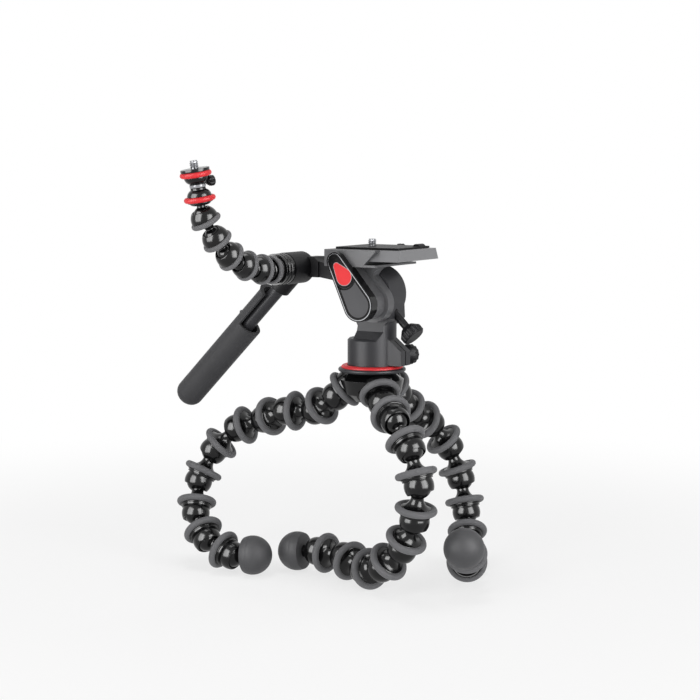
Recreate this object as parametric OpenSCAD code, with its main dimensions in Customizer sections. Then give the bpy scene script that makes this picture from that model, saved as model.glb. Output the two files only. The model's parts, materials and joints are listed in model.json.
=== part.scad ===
// Tripod with bead legs, a small fluid head, a folding pan handle and a short bead arm.
// +Z is up and Z = 0 is the floor. The legs are bent as if wrapped round a pole that runs along X.

/* [Leg beads] */
// Radius of the ball at the root of each bead
ball_r = 9.6; // [9.2:0.1:9.8]
// Play between a ball and its socket
ball_gap = 0.25; // [0.2:0.05:0.35]
// Wall of the domed socket
socket_wall = 1.5; // [1.2:0.1:1.8]
// Radius of the neck between the ball and the flare
neck_r = 4.8; // [4.2:0.1:5]
// Distance from ball centre to ball centre along one bead
bead_pitch = 27.5; // [27:0.1:28.5]
// Distance from the ball centre to the plane of the rubber ring
ring_at = 18; // [17.6:0.1:18.6]
// Radius of the collar that carries the rubber ring
collar_r = 12.4; // [12:0.1:12.8]
// Radius of the rubber ring, at the middle of its tube
ring_r = 13.4; // [13:0.1:13.8]
// Radius of the rubber ring's tube
ring_tube = 2.6; // [2.3:0.1:2.8]
// How far a ball swings in its socket, to either side of straight
swing = 31; // [26:1:32]
// Radius of the rubber ball foot
foot_r = 15.5; // [14:0.1:16]

/* [Hub] */
// Distance of the hub's ring centres from the pan axis
hub_reach = 22; // [21:0.1:24]
// Depth of the hub's ring centres under the top of the disc
hub_drop = 18; // [17:0.1:20]
// How far the hub's sockets point below the horizon
hub_dive = 40; // [35:1:45]
// Diameter of the mounting disc
disc_d = 52.5; // [48:0.5:56]
// Thickness of the mounting disc
disc_t = 3; // [2.5:0.1:4]
// Outer diameter of the trim ring on the disc
trim_d = 48; // [45:0.5:50]
// Height of the trim ring
trim_h = 2.2; // [1.5:0.1:3]
// Diameter of the head's fixing screw
fixing_d = 9.525; // [6.35:0.005:9.525]

/* [Head] */
// Turn of the head on the hub
pan_turn = 58; // [-180:1:180]
// Diameter of the pan base
base_d = 38; // [36:0.5:42]
// Height of the top of the pan base over the disc
base_h = 23; // [20:0.5:25]
// Height of the tilt axis over the disc
tilt_z = 57; // [56:0.5:62]
// Radius of the tilt drum
drum_r = 22; // [20:0.5:22]
// Near and far ends of the tilt drum, across the head
drum_x = [-10, 14.5]; // [-20:0.5:20]
// Radius of the tilt axle
axle_r = 5; // [4:0.1:7]
// Thickness of the arm that carries the table
arm_plate_t = 8.6; // [7:0.1:9]
// Thickness of the side cover
cover_t = 5.4; // [4:0.1:7]
// Depth of the cover's skirt below the plate holder
skirt_t = 3; // [2:0.1:4]
// Radii of the cover's round lower end and narrow upper end
cover_r = [12.6, 7]; // [5:0.1:14]
// Wall of the plate holder beside the plate
holder_wall = 3; // [2:0.1:5]
// Height of the plate holder
holder_h = 11.2; // [10.5:0.1:13]
// Front and rear ends of the plate holder
holder_y = [-23, 22]; // [-30:0.5:30]
// Half widths of the quick release plate, below and above
plate_w = [31, 27]; // [20:0.5:32]
// Thickness of the plate
plate_t = 8.5; // [7:0.1:9]
// Front and rear ends of the plate
plate_y = [-41, 22]; // [-45:0.5:30]
// Diameter of the camera screw
camera_screw_d = 6.35; // [6.35, 9.525]
// Length of the camera screw above the plate's pad
camera_screw_l = 5.5; // [4.5:0.1:6]

/* [Handle] */
// Knuckle of the handle: across the head, behind the pan axis, over the disc
knuckle = [-26, 52, 77]; // [-60:0.5:90]
// Radius of the knuckle
knuckle_r = 12.3; // [11:0.1:13]
// Reach of the knuckle towards the arm and towards the bracket
knuckle_w = [19, 6]; // [5:0.5:20]
// How far the handle hangs below the horizon
handle_dive = 45; // [30:1:50]
// Radius of the handle's bar
bar_r = 5.4; // [4.6:0.1:5.6]
// Radius of the grip
grip_r = 11.2; // [10.5:0.1:12]
// Length of the closed part of the grip
grip_l = 92; // [80:1:110]
// Length of the open shell above the grip's mouth
shell_l = 34; // [25:1:36]
// Distance from the knuckle to the far end of the grip
handle_l = 158; // [152:1:165]

/* [Bead arm] */
// Radius of the ball at the root of each arm bead
arm_ball_r = 6.6; // [6.3:0.1:6.8]
// Radius of the neck of an arm bead
arm_neck_r = 3.2; // [2.8:0.1:3.4]
// Wall of the arm's domed sockets
arm_wall = 1.3; // [1:0.1:1.5]
// Distance from ball centre to ball centre along one arm bead
arm_pitch = 17.3; // [17:0.1:18]
// Distance from an arm bead's ball centre to its rubber ring
arm_ring_at = 12; // [11.8:0.1:12.4]
// Radius of an arm bead's collar
arm_collar_r = 8.9; // [8.6:0.1:9.2]
// Radius of an arm bead's ring, at the middle of its tube
arm_ring_r = 9.6; // [9.4:0.1:9.9]
// Radius of the tube of an arm bead's ring
arm_tube = 2; // [1.7:0.1:2.1]
// Distance from the knuckle's middle to the arm's first socket
arm_reach = 35; // [34:0.5:38]
// Diameter of the stud at the arm's tip
tip_stud_d = 6.35; // [6.35, 9.525]

/* [Hidden] */
$fn = 64;
eps = 0.01;
fit = 0.3;            // running clearance between pieces that turn or slide
seat = 0.1;           // clearance between pieces that sit still in each other

socket_r = ball_r + ball_gap;
dome_r = socket_r + socket_wall;
collar_l = 3.6;       // collar beyond the ring's plane
collar_lead = 1.8;    // collar before the ring's plane
mouth_play = 1;       // spare angle at the mouth of a socket
mouth = asin(neck_r / socket_r) + swing + mouth_play;
cup_l = bead_pitch - ring_at;

arm_gap = 0.2;
arm_socket_r = arm_ball_r + arm_gap;
arm_dome_r = arm_socket_r + arm_wall;
arm_collar_l = 2.4;
arm_collar_lead = 1.2;
arm_swing = 30;
arm_mouth = asin(arm_neck_r / arm_socket_r) + arm_swing + mouth_play;
arm_cup_l = arm_pitch - arm_ring_at;

// Leg poses: heading from +X towards +Y and climb above the horizon of each bead, the foot last
leg_names = ["front", "right", "left"];
leg_poses = [
    [[-70, -20], [-55, -45], [-50, -70], [130, -80], [130, -60],
     [135, -40], [120, -15], [125, 10], [140, 0], [155, -5]],
    [[60, -40], [45, -25], [25, -50], [-15, -70], [-65, -70],
     [-90, -45], [-95, -20], [-95, 10], [-95, 35], [-100, 15]],
    [[135, -30], [150, -5], [135, -20], [155, -20], [170, -45],
     [-150, -60], [-95, -60], [-60, -40], [-35, -20], [-20, 5]]
];
first_leg_heading = -75;
links = len(leg_poses[0]) - 1;

// Arm pose, in the same angles, the tip last
arm_pose = [[-125, 5], [-130, 15], [-135, 30], [-140, 50], [-150, 60], [-150, 80]];
arm_links = len(arm_pose) - 1;

function way(pose) = [cos(pose[0]) * cos(pose[1]), sin(pose[0]) * cos(pose[1]), sin(pose[1])];
function walk(start, poses, pitch, n) =
    n == 0 ? start : walk(start, poses, pitch, n - 1) + pitch * way(poses[n - 1]);
function hub_pose(leg) = [first_leg_heading + 120 * leg, -hub_dive];
function hub_ring(leg) =
    [hub_reach * cos(hub_pose(leg)[0]), hub_reach * sin(hub_pose(leg)[0]), -hub_drop];
function leg_joint(leg, n) =
    walk(hub_ring(leg) + cup_l * way(hub_pose(leg)), leg_poses[leg], bead_pitch, n);

// Lowest point of each bead's ring and of each foot, under the top of the disc
function bead_low(leg, n) =
    let (d = way(leg_poses[leg][n]), c = leg_joint(leg, n) + ring_at * d)
    n == links ? c[2] - foot_r : c[2] - ring_r * sqrt(1 - d[2] * d[2]) - ring_tube;
stand_h = -min([for (leg = [0 : 2]) for (n = [0 : links]) bead_low(leg, n)]);
hub_at = [32.2, 1.9, stand_h];   // top of the disc, on the pan axis, from the middle of the footprint

fixing_sunk = 12;     // depth of the fixing screw in the hub

// Head heights over the disc
base_gap = 0.4;
table_gap = 0.6;
table_t = 1.6;
table_z = [tilt_z + drum_r + table_gap, tilt_z + drum_r + table_gap + table_t];
holder_floor = 2.4;
plate_z = table_z[1] + holder_floor + fit;
holder_w = plate_w[0] + holder_wall;
plate_stem_r = 2.5;
pad_t = 1.6;
arm_x = drum_x[0] - fit - arm_plate_t;
arm_rim = 2;          // how far the tilt arm stands out round the cover
cover_back = -holder_w - fit;
cartridge_x = cover_back + skirt_t;
cover_x = cover_back - cover_t;
inlay_d = 1.2;
cover_low = [-11.2, tilt_z - 5.6];
cover_high = [9.2, tilt_z + 26.6];
cover_l = norm(cover_high - cover_low);
arm_low = norm(cover_low - [0, tilt_z]) + cover_r[0] + arm_rim;   // sweep of the tilt arm round its axle
axle_x = arm_x + 1.5;
back_y = 13;          // rear of the tilt arm under the table
inlay_sink = 0.2;
inlay_step = 0.4;
badge_low = [0.9, tilt_z + 15.4];
badge_high = [7.6, tilt_z + 23.2];
badge_r = [7, 3];
badge_rim = 1.4;
panel_in = 1.5;
panel_l = 18;
panel_high = cover_low + (cover_high - cover_low) * panel_l / cover_l;
panel_r = [cover_r[0] - panel_in, cover_r[0] + (cover_r[1] - cover_r[0]) * panel_l / cover_l - panel_in];
arm_start = [knuckle[0] - arm_reach, knuckle[1], knuckle[2]];
knuckle_x = [knuckle[0] - knuckle_w[0], knuckle[0] + knuckle_w[1]];
boss_x = knuckle_x[0] - fit;
boss_r = arm_dome_r + 0.3;
lock_t = 11.6;
pin_r = 4;
pin_sunk = 6;         // depth of the knuckle's pin in the arm's base
knob_lean = 45;
knob_from = [2, -23.5, tilt_z - 18.5];
lug_y = -30;
lug_w = 7;
pan_knob_at = [lug_w, -24, 10];

function bead_name(leg, n) =
    n == links ? str(leg_names[leg], "_leg_foot") : str(leg_names[leg], "_leg_link_", n + 1);

black = [0.10, 0.10, 0.11];
dark = [0.17, 0.17, 0.18];
satin = [0.30, 0.30, 0.31];
grey = [0.42, 0.42, 0.43];
rubber = [0.36, 0.36, 0.37];
red = [0.85, 0.16, 0.17];
steel = [0.72, 0.72, 0.73];

// Frames
module along(at, pose) {
    translate(at) rotate([0, 90 - pose[1], pose[0]]) children();
}

module on_hub() {
    translate(hub_at) children();
}

module on_head() {
    on_hub() rotate(pan_turn) children();
}

// Head outlines lie in the plane of travel: x is rearward and y is up
module across(x0, x1) {
    translate([x0, 0, 0]) rotate([90, 0, 90]) linear_extrude(x1 - x0) children();
}

// Head sections lie across the head: x is across and y is up
module lengthwise(y0, y1) {
    translate([0, y1, 0]) rotate([90, 0, 0]) linear_extrude(y1 - y0) children();
}

// Two circles and the straight sides that touch both, as one outline
function fan(at, r, from, to, steps) =
    [for (i = [0 : steps]) let (t = from + (to - from) * i / steps) at + r * [cos(t), sin(t)]];

module tapered(a, ra, b, rb, steps = 28) {
    way = atan2(b[1] - a[1], b[0] - a[0]);
    open = acos((ra - rb) / norm(b - a));
    polygon(concat(fan(a, ra, way + open, way + 360 - open, steps), fan(b, rb, way - open, way + open, steps)));
}

module right_half() {
    intersection() {
        children();
        translate([0, -100]) square([100, 300]);
    }
}

// Bead parts, drawn as half sections with the axis upwards
module cup_section(dome, socket, cup, angle, collar, lead, tail) {
    reach = dome + cup;
    difference() {
        union() {
            translate([0, -lead]) square([collar, lead + tail]);
            translate([0, cup]) circle(dome);
        }
        translate([0, cup]) circle(socket);
        translate([0, cup]) polygon([[0, 0], reach * [sin(angle), cos(angle)], [0, reach]]);
    }
}

module leg_cup(lead) {
    cup_section(dome_r, socket_r, cup_l, mouth, collar_r, lead, collar_l);
}

module arm_cup(lead) {
    cup_section(arm_dome_r, arm_socket_r, arm_cup_l, arm_mouth, arm_collar_r, lead, arm_collar_l);
}

module stem_section(ball, neck, collar, top) {
    flare = collar - neck;
    circle(ball);
    translate([0, top - flare]) difference() {
        square([collar, flare + eps]);
        translate([collar, 0]) circle(flare);
    }
    square([neck, top - flare + eps]);
}

module bead() {
    rotate_extrude() right_half() difference() {
        union() {
            stem_section(ball_r, neck_r, collar_r, ring_at - collar_lead);
            translate([0, ring_at]) leg_cup(collar_lead);
        }
        translate([0, bead_pitch]) circle(socket_r);
        translate([ring_r, ring_at]) circle(ring_tube + seat);
    }
}

module arm_bead() {
    rotate_extrude() right_half() difference() {
        union() {
            stem_section(arm_ball_r, arm_neck_r, arm_collar_r, arm_ring_at - arm_collar_lead);
            translate([0, arm_ring_at]) arm_cup(arm_collar_lead);
        }
        translate([0, arm_pitch]) circle(arm_socket_r);
        translate([arm_ring_r, arm_ring_at]) circle(arm_tube + seat);
    }
}

module ring(radius, tube) {
    rotate_extrude() translate([radius, 0]) circle(tube);
}

module foot() {
    core_r = 6;
    core_l = 12;
    cut = dome_r + 0.5;
    color(black) rotate_extrude() right_half() {
        circle(ball_r);
        square([neck_r, cut]);
        translate([0, cut - 1]) square([core_r, core_l]);
    }
    color(rubber) rotate_extrude() right_half() difference() {
        translate([0, ring_at]) circle(foot_r);
        translate([0, -foot_r]) square([2 * foot_r, cut + foot_r]);
        square([core_r + seat, cut - 1 + core_l + seat]);
    }
}

module leg_piece(leg, n) {
    on_hub() along(leg_joint(leg, n), leg_poses[leg][n]) {
        if (n == links) {
            foot();
        } else {
            color(black) bead();
            color(rubber) translate([0, 0, ring_at]) ring(ring_r, ring_tube);
        }
    }
}

// Hub
module each_leg() {
    for (leg = [0 : 2]) along(hub_ring(leg), hub_pose(leg)) children();
}

module leg_hub() {
    top_r = 18;
    skirt_r = 25;
    point_r = 15;
    stem_l = 8;
    arch = 1.6;
    color(black) on_hub() difference() {
        union() {
            difference() {
                rotate_extrude() polygon([
                    [0, -disc_t], [top_r, -disc_t], [top_r + 1.5, -disc_t - 2.5], [skirt_r, -disc_t - 6],
                    [skirt_r - 2, -hub_drop - 2], [point_r, -hub_drop - 8], [0, -hub_drop - 8]
                ]);
                each_leg() translate([0, 0, -ring_tube - arch]) cylinder(r = ring_r + ring_tube + arch, h = 40);
            }
            each_leg() rotate_extrude() right_half() difference() {
                leg_cup(stem_l);
                translate([ring_r, 0]) circle(ring_tube + seat);
            }
        }
        translate([0, 0, -disc_t - fixing_sunk - seat]) cylinder(d = fixing_d, h = 2 * fixing_sunk);
    }
}

module hub_rings() {
    color(rubber) on_hub() each_leg() ring(ring_r, ring_tube);
}

module mount_disc() {
    screw_up = 12;
    edge = disc_t / 2;
    color(dark) on_hub() {
        rotate_extrude() right_half() {
            translate([0, -disc_t]) square([disc_d / 2 - edge, disc_t]);
            translate([disc_d / 2 - edge, -edge]) circle(edge);
        }
        translate([0, 0, -disc_t - fixing_sunk])
            cylinder(d = fixing_d - 2 * seat, h = disc_t + fixing_sunk + screw_up);
    }
}

module trim_ring() {
    inner = base_d / 2 + fit;
    outer = trim_d / 2;
    color(red) on_hub() rotate_extrude() {
        translate([inner, 0]) square([outer - trim_h - inner, trim_h]);
        translate([outer - trim_h, 0]) intersection() {
            circle(trim_h);
            square(trim_h);
        }
    }
}

// Pan base with its clamp lug, the column and the tilt drum
module pan_base() {
    r = base_d / 2;
    chamfer = 1.4;
    foot_x = -15;
    foot_z = tilt_z - arm_low - 1;
    neck_y = [9, 7];
    color(satin) on_head() difference() {
        union() {
            rotate_extrude() polygon([
                [0, base_gap], [r, base_gap], [r, base_h - chamfer], [r - chamfer, base_h], [0, base_h]
            ]);
            intersection() {
                translate([0, 0, base_h - 2]) cylinder(r = r, h = tilt_z);
                lengthwise(-r, r) polygon([
                    [foot_x, base_h - 2], [drum_x[0], foot_z], [drum_x[0], tilt_z],
                    [drum_x[1], tilt_z], [drum_x[1], tilt_z - 14], [r, base_h]
                ]);
                across(-r, r) polygon([
                    [-r, base_h - 2], [neck_y[0], base_h - 2], [neck_y[1], foot_z + 4], [r, tilt_z], [-r, tilt_z]
                ]);
            }
            across(drum_x[0], drum_x[1]) {
                translate([0, tilt_z]) circle(drum_r);
                polygon([
                    [-sqrt(drum_r * drum_r - 64), tilt_z - 8], [-drum_r + 1, tilt_z - 18],
                    [-drum_r + 5, tilt_z - 23], [0, tilt_z - 20], [0, tilt_z]
                ]);
            }
            across(-lug_w, lug_w)
                polygon([[0, 3], [lug_y, 3], [lug_y, 14], [-18, base_h + 0.5], [0, base_h + 0.5]]);
        }
        translate([0, 0, -eps]) cylinder(d = fixing_d + 2 * fit, h = 13);
        across(drum_x[0] - 1, drum_x[1] + 1) translate([0, tilt_z]) circle(axle_r + fit);
        translate(knob_from) rotate([90 + knob_lean, 0, 0]) translate([0, 0, -9]) cylinder(r = 3 + fit, h = 30);
        translate(pan_knob_at - [12, 0, 0]) rotate([0, 90, 0]) cylinder(r = 2.5 + fit, h = 20);
        across(-0.6, 0.6) polygon([[-drum_r - 10, 3 - eps], [-r - 1, 3 - eps], [-r - 1, 28], [-drum_r - 10, 28]]);
    }
}

// Knobs point along +Z from the face that they turn against
module knob(stem_r, sunk, neck, r, h, flutes) {
    difference() {
        rotate_extrude() polygon([
            [0, -sunk], [stem_r, -sunk], [stem_r, neck], [r * 0.55, neck], [r, neck + h * 0.45],
            [r, neck + h * 0.85], [r * 0.85, neck + h], [0, neck + h]
        ]);
        for (i = [0 : flutes - 1]) rotate(i * 360 / flutes) translate([r + 0.6, 0, neck])
            cylinder(r = 1.4, h = h + 1, $fn = 24);
    }
}

module pan_lock_knob() {
    color(black) on_head() translate(pan_knob_at) rotate([0, 90, 0]) knob(2.5, 10, 3, 8, 9, 14);
}

module tilt_lock_knob() {
    color(black) on_head() translate(knob_from) rotate([90 + knob_lean, 0, 0]) knob(3, 7, 9, 9.2, 10, 16);
}

module tilt_axle() {
    cap_r = 10;
    color(dark) on_head() {
        across(axle_x, drum_x[1] + fit) translate([0, tilt_z]) circle(axle_r);
        across(drum_x[1] + fit, drum_x[1] + 3) translate([0, tilt_z]) circle(cap_r);
    }
}

// Side arm of the table, with the cartridge outside it
module tilt_body() {
    throat = 12;
    lip = holder_y;
    color(grey) on_head() {
        difference() {
            union() {
                across(arm_x, arm_x + arm_plate_t) under_table(-eps) {
                    cover_outline(-arm_rim);
                    difference() {
                        translate([lip[0], tilt_z]) square([back_y - lip[0], table_z[0] - tilt_z + eps]);
                        translate([lip[0], table_z[0] - throat]) circle(throat);
                        translate([lip[0], tilt_z - eps]) square([throat, table_z[0] - tilt_z - throat]);
                    }
                }
                translate([-holder_w, lip[0], table_z[0]])
                    cube([2 * holder_w - 6, lip[1] - lip[0], table_t]);
                across(cartridge_x, arm_x + eps) under_table(0) cover_outline(1.2);
            }
            across(axle_x - seat, arm_x + arm_plate_t + 1)
                translate([0, tilt_z]) circle(axle_r + seat);
        }
    }
}

module cover_outline(inset) {
    tapered(cover_low, cover_r[0] - inset, cover_high, cover_r[1] - inset);
}

module badge_outline(inset) {
    tapered(badge_low, badge_r[0] - inset, badge_high, badge_r[1] - inset);
}

// The panel stops short of the badge
module panel_outline(inset) {
    difference() {
        tapered(cover_low, panel_r[0] - inset, panel_high, panel_r[1] - inset);
        badge_outline(-badge_rim - inset);
    }
}

// What lies below the table
module under_table(gap) {
    intersection() {
        children();
        translate([-50, 0]) square([100, table_z[0] - gap]);
    }
}

module side_cover() {
    color(black) on_head() difference() {
        union() {
            across(cover_x, cover_back) cover_outline(0);
            across(cover_back - eps, cartridge_x - seat) under_table(seat) cover_outline(0);
        }
        across(cover_x - 1, cover_x + inlay_d) {
            badge_outline(0);
            panel_outline(0);
        }
    }
}

module badge() {
    color(red) on_head() {
        across(cover_x + inlay_sink + inlay_step, cover_x + inlay_d - seat) badge_outline(seat);
        across(cover_x + inlay_sink, cover_x + inlay_sink + inlay_step + eps) badge_outline(seat + inlay_step);
    }
}

module cover_panel() {
    color(grey) on_head() {
        across(cover_x + inlay_sink + inlay_step, cover_x + inlay_d - seat) panel_outline(seat);
        across(cover_x + inlay_sink, cover_x + inlay_sink + inlay_step + eps) panel_outline(seat + inlay_step);
    }
}

// Quick release
module plate_holder() {
    top = table_z[1] + holder_h;
    cut = 11;
    color(grey) on_head() difference() {
        lengthwise(holder_y[0], holder_y[1]) difference() {
            translate([-holder_w, table_z[1]]) square([2 * holder_w, holder_h]);
            polygon([
                [-plate_w[0] - fit, plate_z - fit], [plate_w[0] + fit, plate_z - fit],
                [plate_w[1] + fit, plate_z + plate_t], [plate_w[1] + fit, top + 1],
                [-plate_w[1] - fit, top + 1], [-plate_w[1] - fit, plate_z + plate_t]
            ]);
        }
        across(-holder_w - 1, holder_w + 1) polygon([
            [holder_y[0] - 1, table_z[1] - 1], [holder_y[0] + cut, table_z[1] - 1], [holder_y[0] - 1, top]
        ]);
        translate([plate_w[1] - 1, 0, plate_z + plate_t / 2]) rotate([0, 90, 0])
            cylinder(r = plate_stem_r + fit, h = holder_w - plate_w[1] + 2);
    }
}

module plate() {
    bore_r = camera_screw_d / 2 + fit;
    head_r = 9.5;
    head_h = 4;
    color(satin) on_head() difference() {
        lengthwise(plate_y[0], plate_y[1]) polygon([
            [-plate_w[0], plate_z], [plate_w[0], plate_z],
            [plate_w[1], plate_z + plate_t], [-plate_w[1], plate_z + plate_t]
        ]);
        translate([0, 0, plate_z - 1]) cylinder(r = bore_r, h = plate_t + 2);
        translate([0, 0, plate_z - 1]) cylinder(r = head_r + fit, h = head_h + 1);
    }
    color(black) on_head() difference() {
        union() {
            translate([-plate_w[1] + 3, plate_y[0] + 4, plate_z + plate_t + seat])
                cube([2 * plate_w[1] - 6, plate_y[1] - plate_y[0] - 8, pad_t - seat]);
            across(8, 18) translate([plate_y[0] + 7, plate_z + plate_t + seat]) intersection() {
                circle(3.4);
                translate([-4, 0]) square([8, 4]);
            }
        }
        translate([0, 0, plate_z]) cylinder(r = bore_r, h = plate_t + 10);
    }
}

module camera_screw() {
    head_r = 9.2;
    head_h = 3.4;
    slot_w = 1.6;
    relief = 0.6;
    shank_l = plate_t + pad_t - fit;
    color(steel) on_head() translate([0, 0, plate_z + fit]) difference() {
        union() {
            cylinder(r = head_r, h = head_h);
            cylinder(d = camera_screw_d - 2 * relief, h = shank_l + eps);
            translate([0, 0, shank_l]) cylinder(d = camera_screw_d, h = camera_screw_l);
        }
        translate([-head_r, -slot_w / 2, -1]) cube([2 * head_r, slot_w, 2.2]);
    }
}

module plate_lock_knob() {
    color(black) on_head() translate([holder_w, 0, plate_z + plate_t / 2]) rotate([0, 90, 0])
        knob(plate_stem_r, 3.2, 3, 5.8, 10, 12);
}

// Handle
module handle_bracket() {
    root_z = [table_z[0] - seat - 13.5, table_z[0] - seat];
    end_z = [knuckle[2] - 5.5, knuckle[2] + 7];
    bar_x = [knuckle_x[1] - 4, arm_x + arm_plate_t - 2];
    tongue = knuckle_x[1] + fit;
    block = 1.6;
    color(dark) on_head() {
        difference() {
            union() {
                across(bar_x[0], bar_x[1]) polygon([
                    [back_y - 8, root_z[0]], [back_y - 8, root_z[1]], [holder_y[1] + seat, root_z[1]],
                    [knuckle[1] - 12, end_z[1]], [knuckle[1] - 8, end_z[1]], [knuckle[1] - 8, end_z[0]]
                ]);
                across(bar_x[0] - block, bar_x[1] + block) polygon([
                    [knuckle[1] - 19, end_z[0] - block], [knuckle[1] - 19, end_z[1] - 2],
                    [knuckle[1] - 15, end_z[1] + block], [knuckle[1] - 8, end_z[1] + block],
                    [knuckle[1] - 8, end_z[0] - block]
                ]);
            }
            across(bar_x[0] - 3, tongue) translate([knuckle[1], knuckle[2]]) circle(knuckle_r + fit);
            across(bar_x[0] - 3, bar_x[1] + 3) cover_outline(-arm_rim - seat);
            across(bar_x[0] - 3, bar_x[1] + 3)
                translate([back_y + seat - 20, tilt_z]) square([20, table_z[0] - tilt_z]);
        }
        across(tongue, bar_x[1]) tapered([knuckle[1] - 10, knuckle[2]], 7, [knuckle[1], knuckle[2]], 9);
        across(boss_x - pin_sunk, tongue + eps) translate([knuckle[1], knuckle[2]]) circle(pin_r);
    }
}

module knuckle_clamp() {
    sleeve_r = 8.6;
    sleeve_l = 24;
    color(dark) on_head() difference() {
        union() {
            across(knuckle_x[0], knuckle_x[1]) translate([knuckle[1], knuckle[2]]) circle(knuckle_r);
            along(knuckle, [90, -handle_dive]) rotate_extrude() polygon([
                [0, 0], [sleeve_r - 1, 0], [sleeve_r, 8], [sleeve_r, sleeve_l - 1], [sleeve_r - 1, sleeve_l],
                [0, sleeve_l]
            ]);
        }
        across(knuckle_x[0] - 5, knuckle_x[1] + 5) translate([knuckle[1], knuckle[2]]) circle(pin_r + fit);
        across(knuckle_x[1], knuckle_x[1] + 8) translate([knuckle[1], knuckle[2]]) circle(knuckle_r + 8);
        along(knuckle, [90, -handle_dive]) translate([0, 0, knuckle_r]) cylinder(r = bar_r + seat, h = 40);
    }
}

module handle_bar() {
    end_gap = 20;
    color(satin) on_head() along(knuckle, [90, -handle_dive]) translate([0, 0, knuckle_r + seat])
        cylinder(r = bar_r, h = handle_l - end_gap - knuckle_r - seat);
}

// Grip: a closed tube with a round end, an open shell above its mouth and a sliding fit on the bar
module handle_grip() {
    end_r = 9.5;
    mouth_r = 8.6;
    mouth_d = 14;
    bore_end = 12;
    shell_wall = 2.2;
    lip = 1.4;
    lip_l = 3;
    half_open = 100;
    mouth_z = handle_l - grip_l;
    top_z = mouth_z - shell_l;
    far = 2 * grip_r;
    color(dark) on_head() along(knuckle, [90, -handle_dive]) difference() {
        union() {
            rotate_extrude() right_half() {
                polygon([
                    [0, top_z], [grip_r + lip, top_z], [grip_r, top_z + lip_l],
                    [grip_r, handle_l - end_r], [0, handle_l - end_r]
                ]);
                translate([0, handle_l - end_r]) square([grip_r - end_r, end_r]);
                translate([grip_r - end_r, handle_l - end_r]) circle(end_r);
            }
            translate([-grip_r, 0, mouth_z - 2]) sphere(1.8);
        }
        translate([0, 0, top_z - 1]) cylinder(r = grip_r - shell_wall, h = shell_l + 1);
        translate([0, 0, mouth_z - 1]) cylinder(r = mouth_r, h = mouth_d + 1);
        translate([0, 0, mouth_z]) cylinder(r = bar_r + fit, h = grip_l - bore_end);
        translate([0, 0, top_z - 1]) linear_extrude(shell_l + 1) polygon([
            [0, 0], far * [cos(half_open), sin(half_open)], far * [1, 1],
            far * [1, -1], far * [cos(half_open), -sin(half_open)]
        ]);
    }
}

// Bead arm
module arm_lock_ring() {
    ribs = 3;
    r = knuckle_r - 0.3;
    rib_gap = lock_t / ribs;
    groove = 1.1;
    color(dark) on_head() translate([boss_x - fit, knuckle[1], knuckle[2]]) rotate([0, -90, 0])
        rotate_extrude() difference() {
            translate([boss_r + fit, 0]) square([r - boss_r - fit, lock_t]);
            for (i = [1 : ribs - 1]) translate([r + 0.2, i * rib_gap]) circle(groove);
        }
}

// Socket of the arm on a boss that the lock ring turns on, with a flange and a rubber band round its mouth
module arm_base() {
    back = arm_reach - knuckle_w[0] - fit - arm_cup_l;
    flange_z = lock_t + 3 * fit - back;
    flange_t = 1.2;
    band_r = 10.6;
    band_z = [flange_z + flange_t + seat, arm_cup_l + 3];
    color(black) on_head() translate(arm_start) rotate([0, -90, 0]) translate([0, 0, -arm_cup_l]) difference() {
        rotate_extrude() right_half() difference() {
            union() {
                translate([0, -back]) square([boss_r, back + arm_cup_l - arm_socket_r / 2]);
                translate([0, flange_z]) square([band_r, flange_t]);
                translate([0, arm_cup_l]) circle(arm_dome_r);
            }
            translate([0, arm_cup_l]) circle(arm_socket_r);
            translate([0, arm_cup_l])
                polygon([[0, 0], 2 * arm_dome_r * [sin(arm_mouth), cos(arm_mouth)], [0, 2 * arm_dome_r]]);
        }
        translate([0, 0, -back - 1]) cylinder(r = pin_r + seat, h = pin_sunk + 1 + seat);
    }
    color(rubber) on_head() translate(arm_start) rotate([0, -90, 0]) translate([0, 0, -arm_cup_l + band_z[0]])
        rotate_extrude() translate([boss_r + seat, 0]) square([band_r - boss_r - seat, band_z[1] - band_z[0]]);
}

function arm_root() =
    let (c = cos(pan_turn), s = sin(pan_turn))
    [c * arm_start[0] - s * arm_start[1], s * arm_start[0] + c * arm_start[1], arm_start[2]];
function arm_joint(n) = walk(arm_root(), arm_pose, arm_pitch, n);

module arm_link(n) {
    on_hub() along(arm_joint(n), arm_pose[n]) {
        color(black) arm_bead();
        color(rubber) translate([0, 0, arm_ring_at]) ring(arm_ring_r, arm_tube);
    }
}

tip_waist = 8;
tip_waist_r = 5.9;
tip_rim_r = 10.6;
tip_h = 18;
tip_pin_r = 3;
tip_pin_l = tip_h - 4;
tip_screw_r = 1.2;
tip_screw_sunk = 2.6;

module on_tip() {
    on_hub() along(arm_joint(arm_links), arm_pose[arm_links]) children();
}

// Frame of the clamp screw, from the swivel's ring plane: +Z points out of the swivel
module on_clamp() {
    translate([0, 0, tip_waist + 3.4]) rotate([0, 90, 180]) translate([0, 0, tip_waist_r + 0.5]) children();
}

module arm_tip() {
    color(black) on_tip() rotate_extrude() right_half() difference() {
        union() {
            stem_section(arm_ball_r, arm_neck_r, arm_collar_r, arm_ring_at - arm_collar_lead);
            translate([0, arm_ring_at]) polygon([
                [0, -arm_collar_lead], [arm_collar_r, -arm_collar_lead], [arm_collar_r, 1.2],
                [tip_waist_r, tip_waist], [tip_pin_r, tip_waist], [tip_pin_r, tip_pin_l], [0, tip_pin_l]
            ]);
        }
        translate([arm_ring_r, arm_ring_at]) circle(arm_tube + seat);
    }
    color(red) on_tip() translate([0, 0, arm_ring_at]) ring(arm_ring_r, arm_tube);
}

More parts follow.
